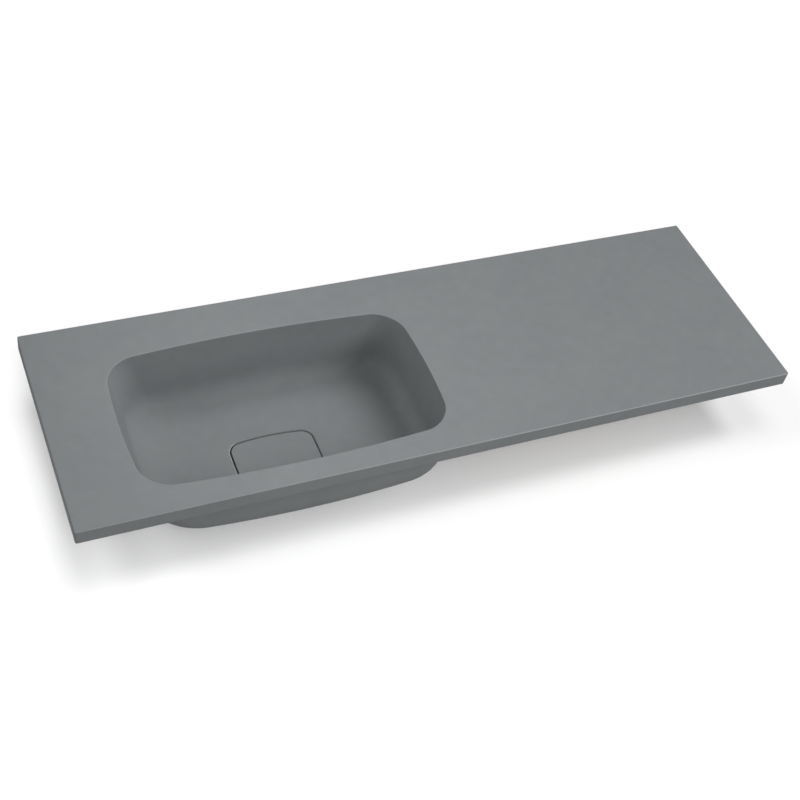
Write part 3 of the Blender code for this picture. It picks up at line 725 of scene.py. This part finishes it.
def bore_inserts(top):
    """Cut a blind bore for each threaded insert into the underside of the strips."""
    bores = []
    for name, centre, low, high in insert_places():
        radius = INSERT_RADIUS + BORE_CLEARANCE
        profile = np.array([[radius, low - GUARD], [radius, high + BORE_CLEARANCE]])
        rows = turned_rows(profile, centre, SMALL_TURN_COLUMNS)
        bores.append(skin(name + "_bore", rows, joined=False))
    cut = top.modifiers.new("bores", "BOOLEAN")
    cut.operation = "DIFFERENCE"
    cut.operand_type = "COLLECTION"
    group = bpy.data.collections.new("bores")
    for bore in bores:
        group.objects.link(bore)
    cut.collection = group
    graph = bpy.context.evaluated_depsgraph_get()
    mesh = bpy.data.meshes.new_from_object(top.evaluated_get(graph))
    top.modifiers.clear()
    top.data = mesh
    mesh.name = "vanity_top"
    for bore in bores:
        bpy.data.objects.remove(bore)
    bpy.data.collections.remove(group)
    mesh.set_sharp_from_angle(angle=SMOOTH_UP_TO)


def make_battens():
    """Plywood battens bonded under the shelf."""
    for name in sorted(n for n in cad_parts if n.startswith("shelf_batten_")):
        low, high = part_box(name)
        centre = (np.array(low) + np.array(high)) / 2
        half = (np.array(high) - np.array(low)) / 2
        ease_in, ease_up = quarter_arc(BATTEN_EASE, EASE_ROWS // 2)
        face_inset = -2.5 * BATTEN_EASE
        spread = np.concatenate([[face_inset], -ease_in[::-1], -ease_in, [face_inset]])
        z = np.concatenate([[-half[2]], -half[2] + BATTEN_EASE - ease_up[::-1],
                            half[2] - BATTEN_EASE + ease_up, [half[2]]])
        outlines = bowed_outline(half[0] + spread, half[1] + spread,
                                 np.full(len(spread), BATTEN_CORNER))
        batten = skin(name + "_board", set_rings(outlines, centre[0], centre[1], centre[2] + z),
                      joined=False)
        dress(batten, ply, "plywood", "basin", name)


def make_inserts():
    """Brass inserts with a chamfered mouth and an M6 thread inside."""
    for name, centre, low, high in insert_places():
        mouth = np.array([[INSERT_BORE + FINE_EASE, high], [INSERT_RADIUS - FINE_EASE, high],
                          [INSERT_RADIUS, high - FINE_EASE], [INSERT_RADIUS, low + FINE_EASE],
                          [INSERT_RADIUS - FINE_EASE, low], [INSERT_BORE + INSERT_MOUTH_WIDTH, low],
                          [INSERT_BORE, low + INSERT_MOUTH_DEPTH]])
        inside = thread_rows(INSERT_BORE + INSERT_THREAD_DEPTH, INSERT_BORE, INSERT_PITCH,
                             low + INSERT_THREAD_START, high - FINE_EASE, centre,
                             SMALL_TURN_COLUMNS)[::-1]
        rows = np.concatenate([turned_rows(mouth, centre, SMALL_TURN_COLUMNS), inside])
        dress(skin(name + "_sleeve", rows), brass, "brass", "basin", name)


make_top()
make_battens()
make_inserts()


# The waste


def make_waste():
    """The chromed waste body: a flush flange, a seat for the strainer and a threaded shank."""
    flange_under = WASTE_TOP - WASTE_FLANGE_THICKNESS
    seat = WASTE_TOP - BASKET_SEAT_DROP
    thread_top = flange_under - THREAD_RUN_OUT
    thread_end = waste_low.z + SHANK_TAIL
    head = eased_profile([(BASKET_SEAT_RADIUS, seat), (BASKET_SEAT_RADIUS, WASTE_TOP),
                          (WASTE_FLANGE_RADIUS, WASTE_TOP), (WASTE_FLANGE_RADIUS, flange_under),
                          (SHANK_RADIUS, flange_under), (SHANK_RADIUS, thread_top)],
                         [0.0, FINE_EASE, WASTE_FLANGE_EASE, FINE_EASE, SHANK_ROOT_EASE, 0.0],
                         closed=False)
    tail = eased_profile([(SHANK_RADIUS - THREAD_DEPTH, thread_end),
                          (SHANK_RADIUS - THREAD_DEPTH, waste_low.z),
                          (WASTE_BORE_RADIUS, waste_low.z), (WASTE_BORE_RADIUS, seat)],
                         [0.0, FINE_EASE, FINE_EASE, FINE_EASE], closed=False)
    thread = thread_rows(SHANK_RADIUS, SHANK_RADIUS - THREAD_DEPTH, THREAD_PITCH, thread_end,
                         thread_top, DRAIN)
    rows = np.concatenate([turned_rows(head, DRAIN), thread[1:-1], turned_rows(tail, DRAIN)])
    dress(skin("waste", rows), chrome, "chrome", "basin", "waste_body")


def make_rings():
    """The seals and the slip washer on the waste's shank."""
    for name, finish, slot, ease in (("flange_seal", rubber, "rubber", FLANGE_SEAL_EASE),
                                     ("lower_seal", rubber, "rubber", LOWER_SEAL_EASE),
                                     ("slip_washer", nylon, "nylon", FINE_EASE)):
        low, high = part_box(name)
        outer = (high.x - low.x) / 2
        corners = [(outer, high.z), (outer, low.z), (RING_BORE, low.z), (RING_BORE, high.z)]
        piece = turned_piece(name + "_ring", corners, ease)
        dress(piece, finish, slot, "basin", name)


def make_nut():
    """The hexagonal back nut.

    Its radius at the turn t is the apothem / cos(t - the nearest flat's middle), cut down to a
    cone from each end, and rounded off just inside the corners.
    """
    low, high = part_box("back_nut")
    turn = 2 * math.pi * np.arange(NUT_COLUMNS) / NUT_COLUMNS
    from_flat = (turn + math.pi / 6) % (math.pi / 3) - math.pi / 6
    apothem = NUT_RADIUS * math.cos(math.pi / 6)
    corner = NUT_RADIUS - NUT_CORNER_EASE
    steps = np.linspace(0.0, NUT_CHAMFER, NUT_CHAMFER_ROWS)[1:]
    z = np.concatenate([[high.z, high.z], high.z - steps, low.z + steps[::-1], [low.z, low.z]])
    rise = np.minimum(high.z - z, z - low.z)[:, None]
    cone = apothem - NUT_FACE_STEP + rise * math.tan(NUT_CHAMFER_SLOPE)
    hexagon = np.minimum(apothem / np.cos(from_flat), corner)[None]
    radius = np.minimum(hexagon, cone)
    radius[[0, -1]] -= NUT_FACE_STEP
    outer = np.stack([DRAIN[0] + radius * np.cos(turn), DRAIN[1] + radius * np.sin(turn),
                      np.broadcast_to(z[:, None], radius.shape)], axis=-1)
    wide = RING_BORE + NUT_MOUTH
    lower_mouth = np.array([[wide, low.z], [RING_BORE, low.z + NUT_MOUTH]])
    upper_mouth = np.array([[RING_BORE, high.z - NUT_MOUTH], [wide, high.z]])
    thread = thread_rows(RING_BORE + NUT_THREAD_DEPTH, RING_BORE, THREAD_PITCH,
                         low.z + NUT_THREAD_START, high.z - NUT_THREAD_START, DRAIN, NUT_COLUMNS)
    rows = np.concatenate([outer, turned_rows(lower_mouth, DRAIN, NUT_COLUMNS), thread[::-1],
                           turned_rows(upper_mouth, DRAIN, NUT_COLUMNS)])
    dress(skin("back_nut_hexagon", rows), brass, "brass", "basin", "back_nut")


make_waste()
make_rings()
make_nut()


# The strainer and the cover


def make_strainer():
    """The strainer: a thin cup with a rim, a socket in its middle and eight slots in its floor.

    The floor's columns are drawn towards each slot, whose sides stay parallel: at the radius r
    a side stands at the turn asin(half the slot's width / r) from the slot's middle. The faces
    between the sides are left out above and below, and walls join the two holes.
    """
    low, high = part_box("strainer_basket")
    rim = (high.x - low.x) / 2
    cup = WASTE_BORE_RADIUS - BASKET_CLEARANCE
    floor = low.z + BASKET_WALL
    socket = SOCKET_BORE + BASKET_WALL
    slot_inner, slot_outer = socket + SLOT_END_MARGIN, cup - BASKET_WALL - SLOT_END_MARGIN
    rim_under = high.z - BASKET_WALL
    wall = cup - BASKET_WALL
    outside = eased_profile([(wall, high.z), (rim, high.z), (rim, rim_under), (cup, rim_under),
                             (cup, low.z), (slot_outer, low.z)],
                            [0.0, BASKET_EASE, BASKET_EASE, FINE_EASE, BASKET_BEND, 0.0],
                            closed=False)[1:]
    inside = eased_profile([(slot_inner, low.z), (SOCKET_BORE, low.z), (SOCKET_BORE, high.z),
                            (socket, high.z), (socket, floor), (slot_inner, floor)],
                           [0.0, BASKET_EASE, BASKET_EASE, BASKET_EASE, FINE_EASE, 0.0],
                           closed=False)
    back = eased_profile([(slot_outer, floor), (wall, floor), (wall, high.z), (rim, high.z)],
                         [0.0, FINE_EASE, BASKET_INNER_BEND, 0.0], closed=False)[:-1]
    profile = np.concatenate([outside, inside, back])
    under = len(outside) - 1
    over = len(outside) + len(inside) - 1
    half_slot = SLOT_WIDTH / 2
    radius = profile[:, :1]
    edge = np.arcsin(np.clip(half_slot / np.maximum(radius, slot_inner), 0.0, 1.0))
    pitch = 2 * math.pi / BASKET_SLOTS
    in_slot = np.arange(SLOT_COLUMNS) / SLOT_COLUMNS
    between = np.arange(SLOT_SECTOR - SLOT_COLUMNS) / (SLOT_SECTOR - SLOT_COLUMNS)
    turns = np.concatenate([-edge + 2 * edge * in_slot, edge + (pitch - 2 * edge) * between], axis=1)
    turns = turns[:, None, :] + pitch * np.arange(BASKET_SLOTS)[None, :, None]
    turns = turns.reshape(len(profile), -1)
    rows = np.stack([DRAIN[0] + radius * np.cos(turns), DRAIN[1] + radius * np.sin(turns),
                     np.broadcast_to(profile[:, 1:], turns.shape)], axis=-1)
    basket = skin("strainer", rows)
    pierce(basket, rows.shape[1], under, over)
    dress(basket, steel, "steel", "strainer", "strainer_basket")


def pierce(basket, columns, under, over):
    """Take the slots' faces out of the two floor rings and wall each hole.

    Ring under meets ring under + 1 in the lower faces and ring over meets ring over + 1 in the
    upper ones. A hole spans the first SLOT_COLUMNS columns of each run of SLOT_SECTOR.
    """
    mesh = basket.data
    count = len(mesh.polygons)
    corners = np.empty(len(mesh.loops), np.int32)
    mesh.loops.foreach_get("vertex_index", corners)
    faces = corners.reshape(count, 4)
    ring, column = np.divmod(np.arange(count), columns)
    holed = ((ring == under) | (ring == over)) & (column % SLOT_SECTOR < SLOT_COLUMNS)
    kept = faces[~holed]
    start = np.arange(0, columns, SLOT_SECTOR)
    end = start + SLOT_COLUMNS
    inner_columns = (start[:, None] + np.arange(SLOT_COLUMNS)).ravel()
    next_columns = inner_columns + 1
    low_out, low_in = under * columns, (under + 1) * columns
    high_in, high_out = over * columns, (over + 1) * columns
    walls = np.concatenate([
        np.stack([low_out + next_columns, low_out + inner_columns, high_out + inner_columns,
                  high_out + next_columns], axis=1),
        np.stack([low_in + inner_columns, low_in + next_columns, high_in + next_columns,
                  high_in + inner_columns], axis=1),
        np.stack([low_out + start, low_in + start, high_in + start, high_out + start], axis=1),
        np.stack([low_in + end, low_out + end, high_out + end, high_in + end], axis=1)])
    points = np.empty(len(mesh.vertices) * 3, np.float32)
    mesh.vertices.foreach_get("co", points)
    pierced = bpy.data.meshes.new("strainer")
    pierced.from_pydata(points.reshape(-1, 3), [], np.concatenate([kept, walls]))
    pierced.update()
    pierced.shade_smooth()
    pierced.set_sharp_from_angle(angle=SMOOTH_UP_TO)
    basket.data = pierced
    bpy.data.meshes.remove(mesh)


def make_cover():
    """The drain cover: a stone plate with eased edges."""
    ease_in, ease_up = quarter_arc(COVER_EASE)
    spread = np.concatenate([[-COVER_FACE_INSET, -2 * COVER_EASE], -ease_in[::-1], -ease_in,
                             [-2 * COVER_EASE, -COVER_FACE_INSET]])
    z = np.concatenate([[cover_low.z], [cover_low.z], cover_low.z + COVER_EASE - ease_up[::-1],
                        cover_high.z - COVER_EASE + ease_up, [cover_high.z], [cover_high.z]])
    outlines = bowed_outline(COVER_HALF[0] + spread, COVER_HALF[1] + spread,
                             np.maximum(COVER_CORNER + spread, COVER_CORNER / 3),
                             COVER_SIDE_BOW, COVER_LONG_BOW)
    cover = skin("drain_cover_plate", set_rings(outlines, DRAIN[0], DRAIN[1], z), joined=False)
    dress(cover, stone, "solid_surface", "cover", "drain_cover")


def make_locator():
    """The steel disc under the cover with its spigot."""
    low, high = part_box("cover_locator")
    disc = (high.x - low.x) / 2
    shoulder = high.z - LOCATOR_THICKNESS
    corners = [(POLE_RADIUS, high.z), (disc, high.z), (disc, shoulder), (SPIGOT_RADIUS, shoulder),
               (SPIGOT_RADIUS, low.z), (POLE_RADIUS, low.z)]
    radii = [0.0, LOCATOR_EASE, LOCATOR_EASE, LOCATOR_ROOT_EASE, SPIGOT_TIP_EASE, 0.0]
    locator = turned_piece("locator_disc", corners, radii, joined=False)
    dress(locator, steel, "steel", "cover", "cover_locator")


def make_feet():
    """Soft feet under the cover's corners, rounded where they meet the recess."""
    for name in sorted(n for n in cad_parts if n.startswith("cover_foot_")):
        low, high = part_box(name)
        centre = ((low.x + high.x) / 2, (low.y + high.y) / 2)
        radius = (high.x - low.x) / 2
        corners = [(POLE_RADIUS, high.z), (radius, high.z), (radius, low.z), (POLE_RADIUS, low.z)]
        foot = turned_piece(name + "_pad", corners, [0.0, FOOT_EASE, FOOT_SOLE_EASE, 0.0], centre,
                            joined=False, columns=SMALL_TURN_COLUMNS)
        dress(foot, silicone, "silicone", "cover", name)


make_strainer()
make_cover()
make_locator()
make_feet()


# Floor, light and camera

CAMERA_PLACE = (-0.7973, -1.4349, 1.5382)
CAMERA_AZIMUTH = math.radians(31.573)
CAMERA_ELEVATION = math.radians(47.434)
CAMERA_ROLL = math.radians(12.709)
CAMERA_LENS = 59.446
CAMERA_SENSOR = 36.0
FLOOR_GAP = 0.0015
FLOOR_REACH = 40.0
FLOOR_GLOW = 0.06
FILL_FROM_BELOW = 0.42
HORIZON_BLEND = 0.02
LIGHT_AIM = (0.0, -0.17, 0.0)
FLOOR_LIGHT_DISTANCE = 8.0
# Each soft light: its turn from the wall side towards +X, its height in degrees, its distance, its
# size and its power
SOFT_LIGHTS = {
    "front_right_low": (135.0, 35.0, 6.0, 2.6, 97.0),
    "front_right_high": (135.0, 48.0, 6.0, 2.6, 69.5),
    "front_left_low": (250.0, 23.0, 6.0, 2.6, 43.0),
    "left_low": (270.0, 12.0, 6.0, 2.6, 35.0),
    "back_left": (300.0, 60.0, 6.0, 2.6, 37.0),
    "back_left_low": (315.0, 35.0, 6.0, 2.6, 31.5),
    "back_right": (60.0, 60.0, 6.0, 2.6, 134.0),
    "front_near": (174.4, 21.5, 2.2, 0.9, 8.4),
    "bowl_near": (228.0, 61.7, 0.57, 0.5, 0.18),
    "back_near": (330.0, 56.3, 1.08, 0.5, 0.28),
    "left_near": (264.3, 56.2, 0.54, 0.5, 0.44),
}
# The lights that reach the floor alone, each so far off that it needs no distance: its turn and its
# height, how wide it looks in degrees, and its strength
FLOOR_LIGHTS = {
    "floor_front": (190.0, 50.0, 14.0, 1.60),
    "floor_front_high": (180.0, 62.0, 14.0, 0.50),
    "floor_left": (240.0, 65.0, 14.0, 0.61),
    "floor_left_low": (270.0, 47.0, 14.0, 0.42),
    "floor_high": (180.0, 74.0, 14.0, 0.86),
}


def make_floor():
    """A wide plain floor just under the waste. It sheds no light back onto the object."""
    corners = FLOOR_REACH * np.array([[-1, -1], [1, -1], [1, 1], [-1, 1]])
    points = np.column_stack([corners, np.full(4, waste_low.z - FLOOR_GAP)])
    mesh = bpy.data.meshes.new("floor")
    mesh.from_pydata(points, [], np.array([[0, 1, 2, 3]]))
    mesh.materials.append(pale_floor())
    floor = bpy.data.objects.new("floor", mesh)
    bpy.context.scene.collection.objects.link(floor)
    floor.visible_diffuse = False
    floor.visible_glossy = False
    return floor


def light_group(name, floor, state):
    """A group that has a light reach the floor alone, or everything else."""
    group = bpy.data.collections.new(name)
    group.objects.link(floor)
    group.collection_objects[0].light_linking.link_state = state
    return group


def aimed_light(name, kind, turn, height, distance, group):
    """A light that faces the basin from a turn, a height and a distance, for one group."""
    turn, height = math.radians(turn), math.radians(height)
    way = Vector((math.sin(turn) * math.cos(height), math.cos(turn) * math.cos(height),
                  math.sin(height)))
    light = bpy.data.objects.new(name, bpy.data.lights.new(name, kind))
    light.location = Vector(LIGHT_AIM) + way * distance
    light.rotation_euler = way.to_track_quat("Z", "Y").to_euler()
    light.visible_camera = False
    light.light_linking.receiver_collection = group
    bpy.context.scene.collection.objects.link(light)
    return light.data


def make_lights(floor):
    """Soft square lights for the basin, and wide suns for the floor's even white and its shadow."""
    all_else = light_group("all but the floor", floor, "EXCLUDE")
    floor_alone = light_group("floor alone", floor, "INCLUDE")
    for name, (turn, height, distance, size, power) in SOFT_LIGHTS.items():
        lamp = aimed_light(name, "AREA", turn, height, distance, all_else)
        lamp.size = size
        lamp.energy = power
    for name, (turn, height, width, strength) in FLOOR_LIGHTS.items():
        lamp = aimed_light(name, "SUN", turn, height, FLOOR_LIGHT_DISTANCE, floor_alone)
        lamp.angle = math.radians(width)
        lamp.energy = strength


def make_camera():
    """The camera at the photograph's viewing angle."""
    camera = bpy.data.objects.new("camera", bpy.data.cameras.new("camera"))
    camera.data.lens = CAMERA_LENS
    camera.data.sensor_width = CAMERA_SENSOR
    azimuth = Matrix.Rotation(-CAMERA_AZIMUTH, 4, "Z")
    elevation = Matrix.Rotation(math.pi / 2 - CAMERA_ELEVATION, 4, "X")
    roll = Matrix.Rotation(CAMERA_ROLL, 4, "Z")
    camera.matrix_world = Matrix.Translation(CAMERA_PLACE) @ azimuth @ elevation @ roll
    bpy.context.scene.collection.objects.link(camera)
    bpy.context.scene.camera = camera


def make_world():
    """A white room to look at, which gives the object only a weak light from below."""
    world = bpy.data.worlds.new("studio")
    world.use_nodes = True
    tree = world.node_tree
    background = tree.nodes["Background"]
    background.inputs["Color"].default_value = (1.0, 1.0, 1.0, 1.0)
    way = tree.nodes.new("ShaderNodeTexCoord").outputs["Generated"]
    below = ranged(tree, part(tree, way, "Z"), FILL_FROM_BELOW, 0.0, -HORIZON_BLEND, HORIZON_BLEND)
    seen = tree.nodes.new("ShaderNodeLightPath").outputs["Is Camera Ray"]
    tree.links.new(worked_out(tree, "MAXIMUM", below, seen), background.inputs["Strength"])
    bpy.context.scene.world = world


make_lights(make_floor())
make_world()
make_camera()
bpy.context.scene.view_settings.view_transform = "Standard"
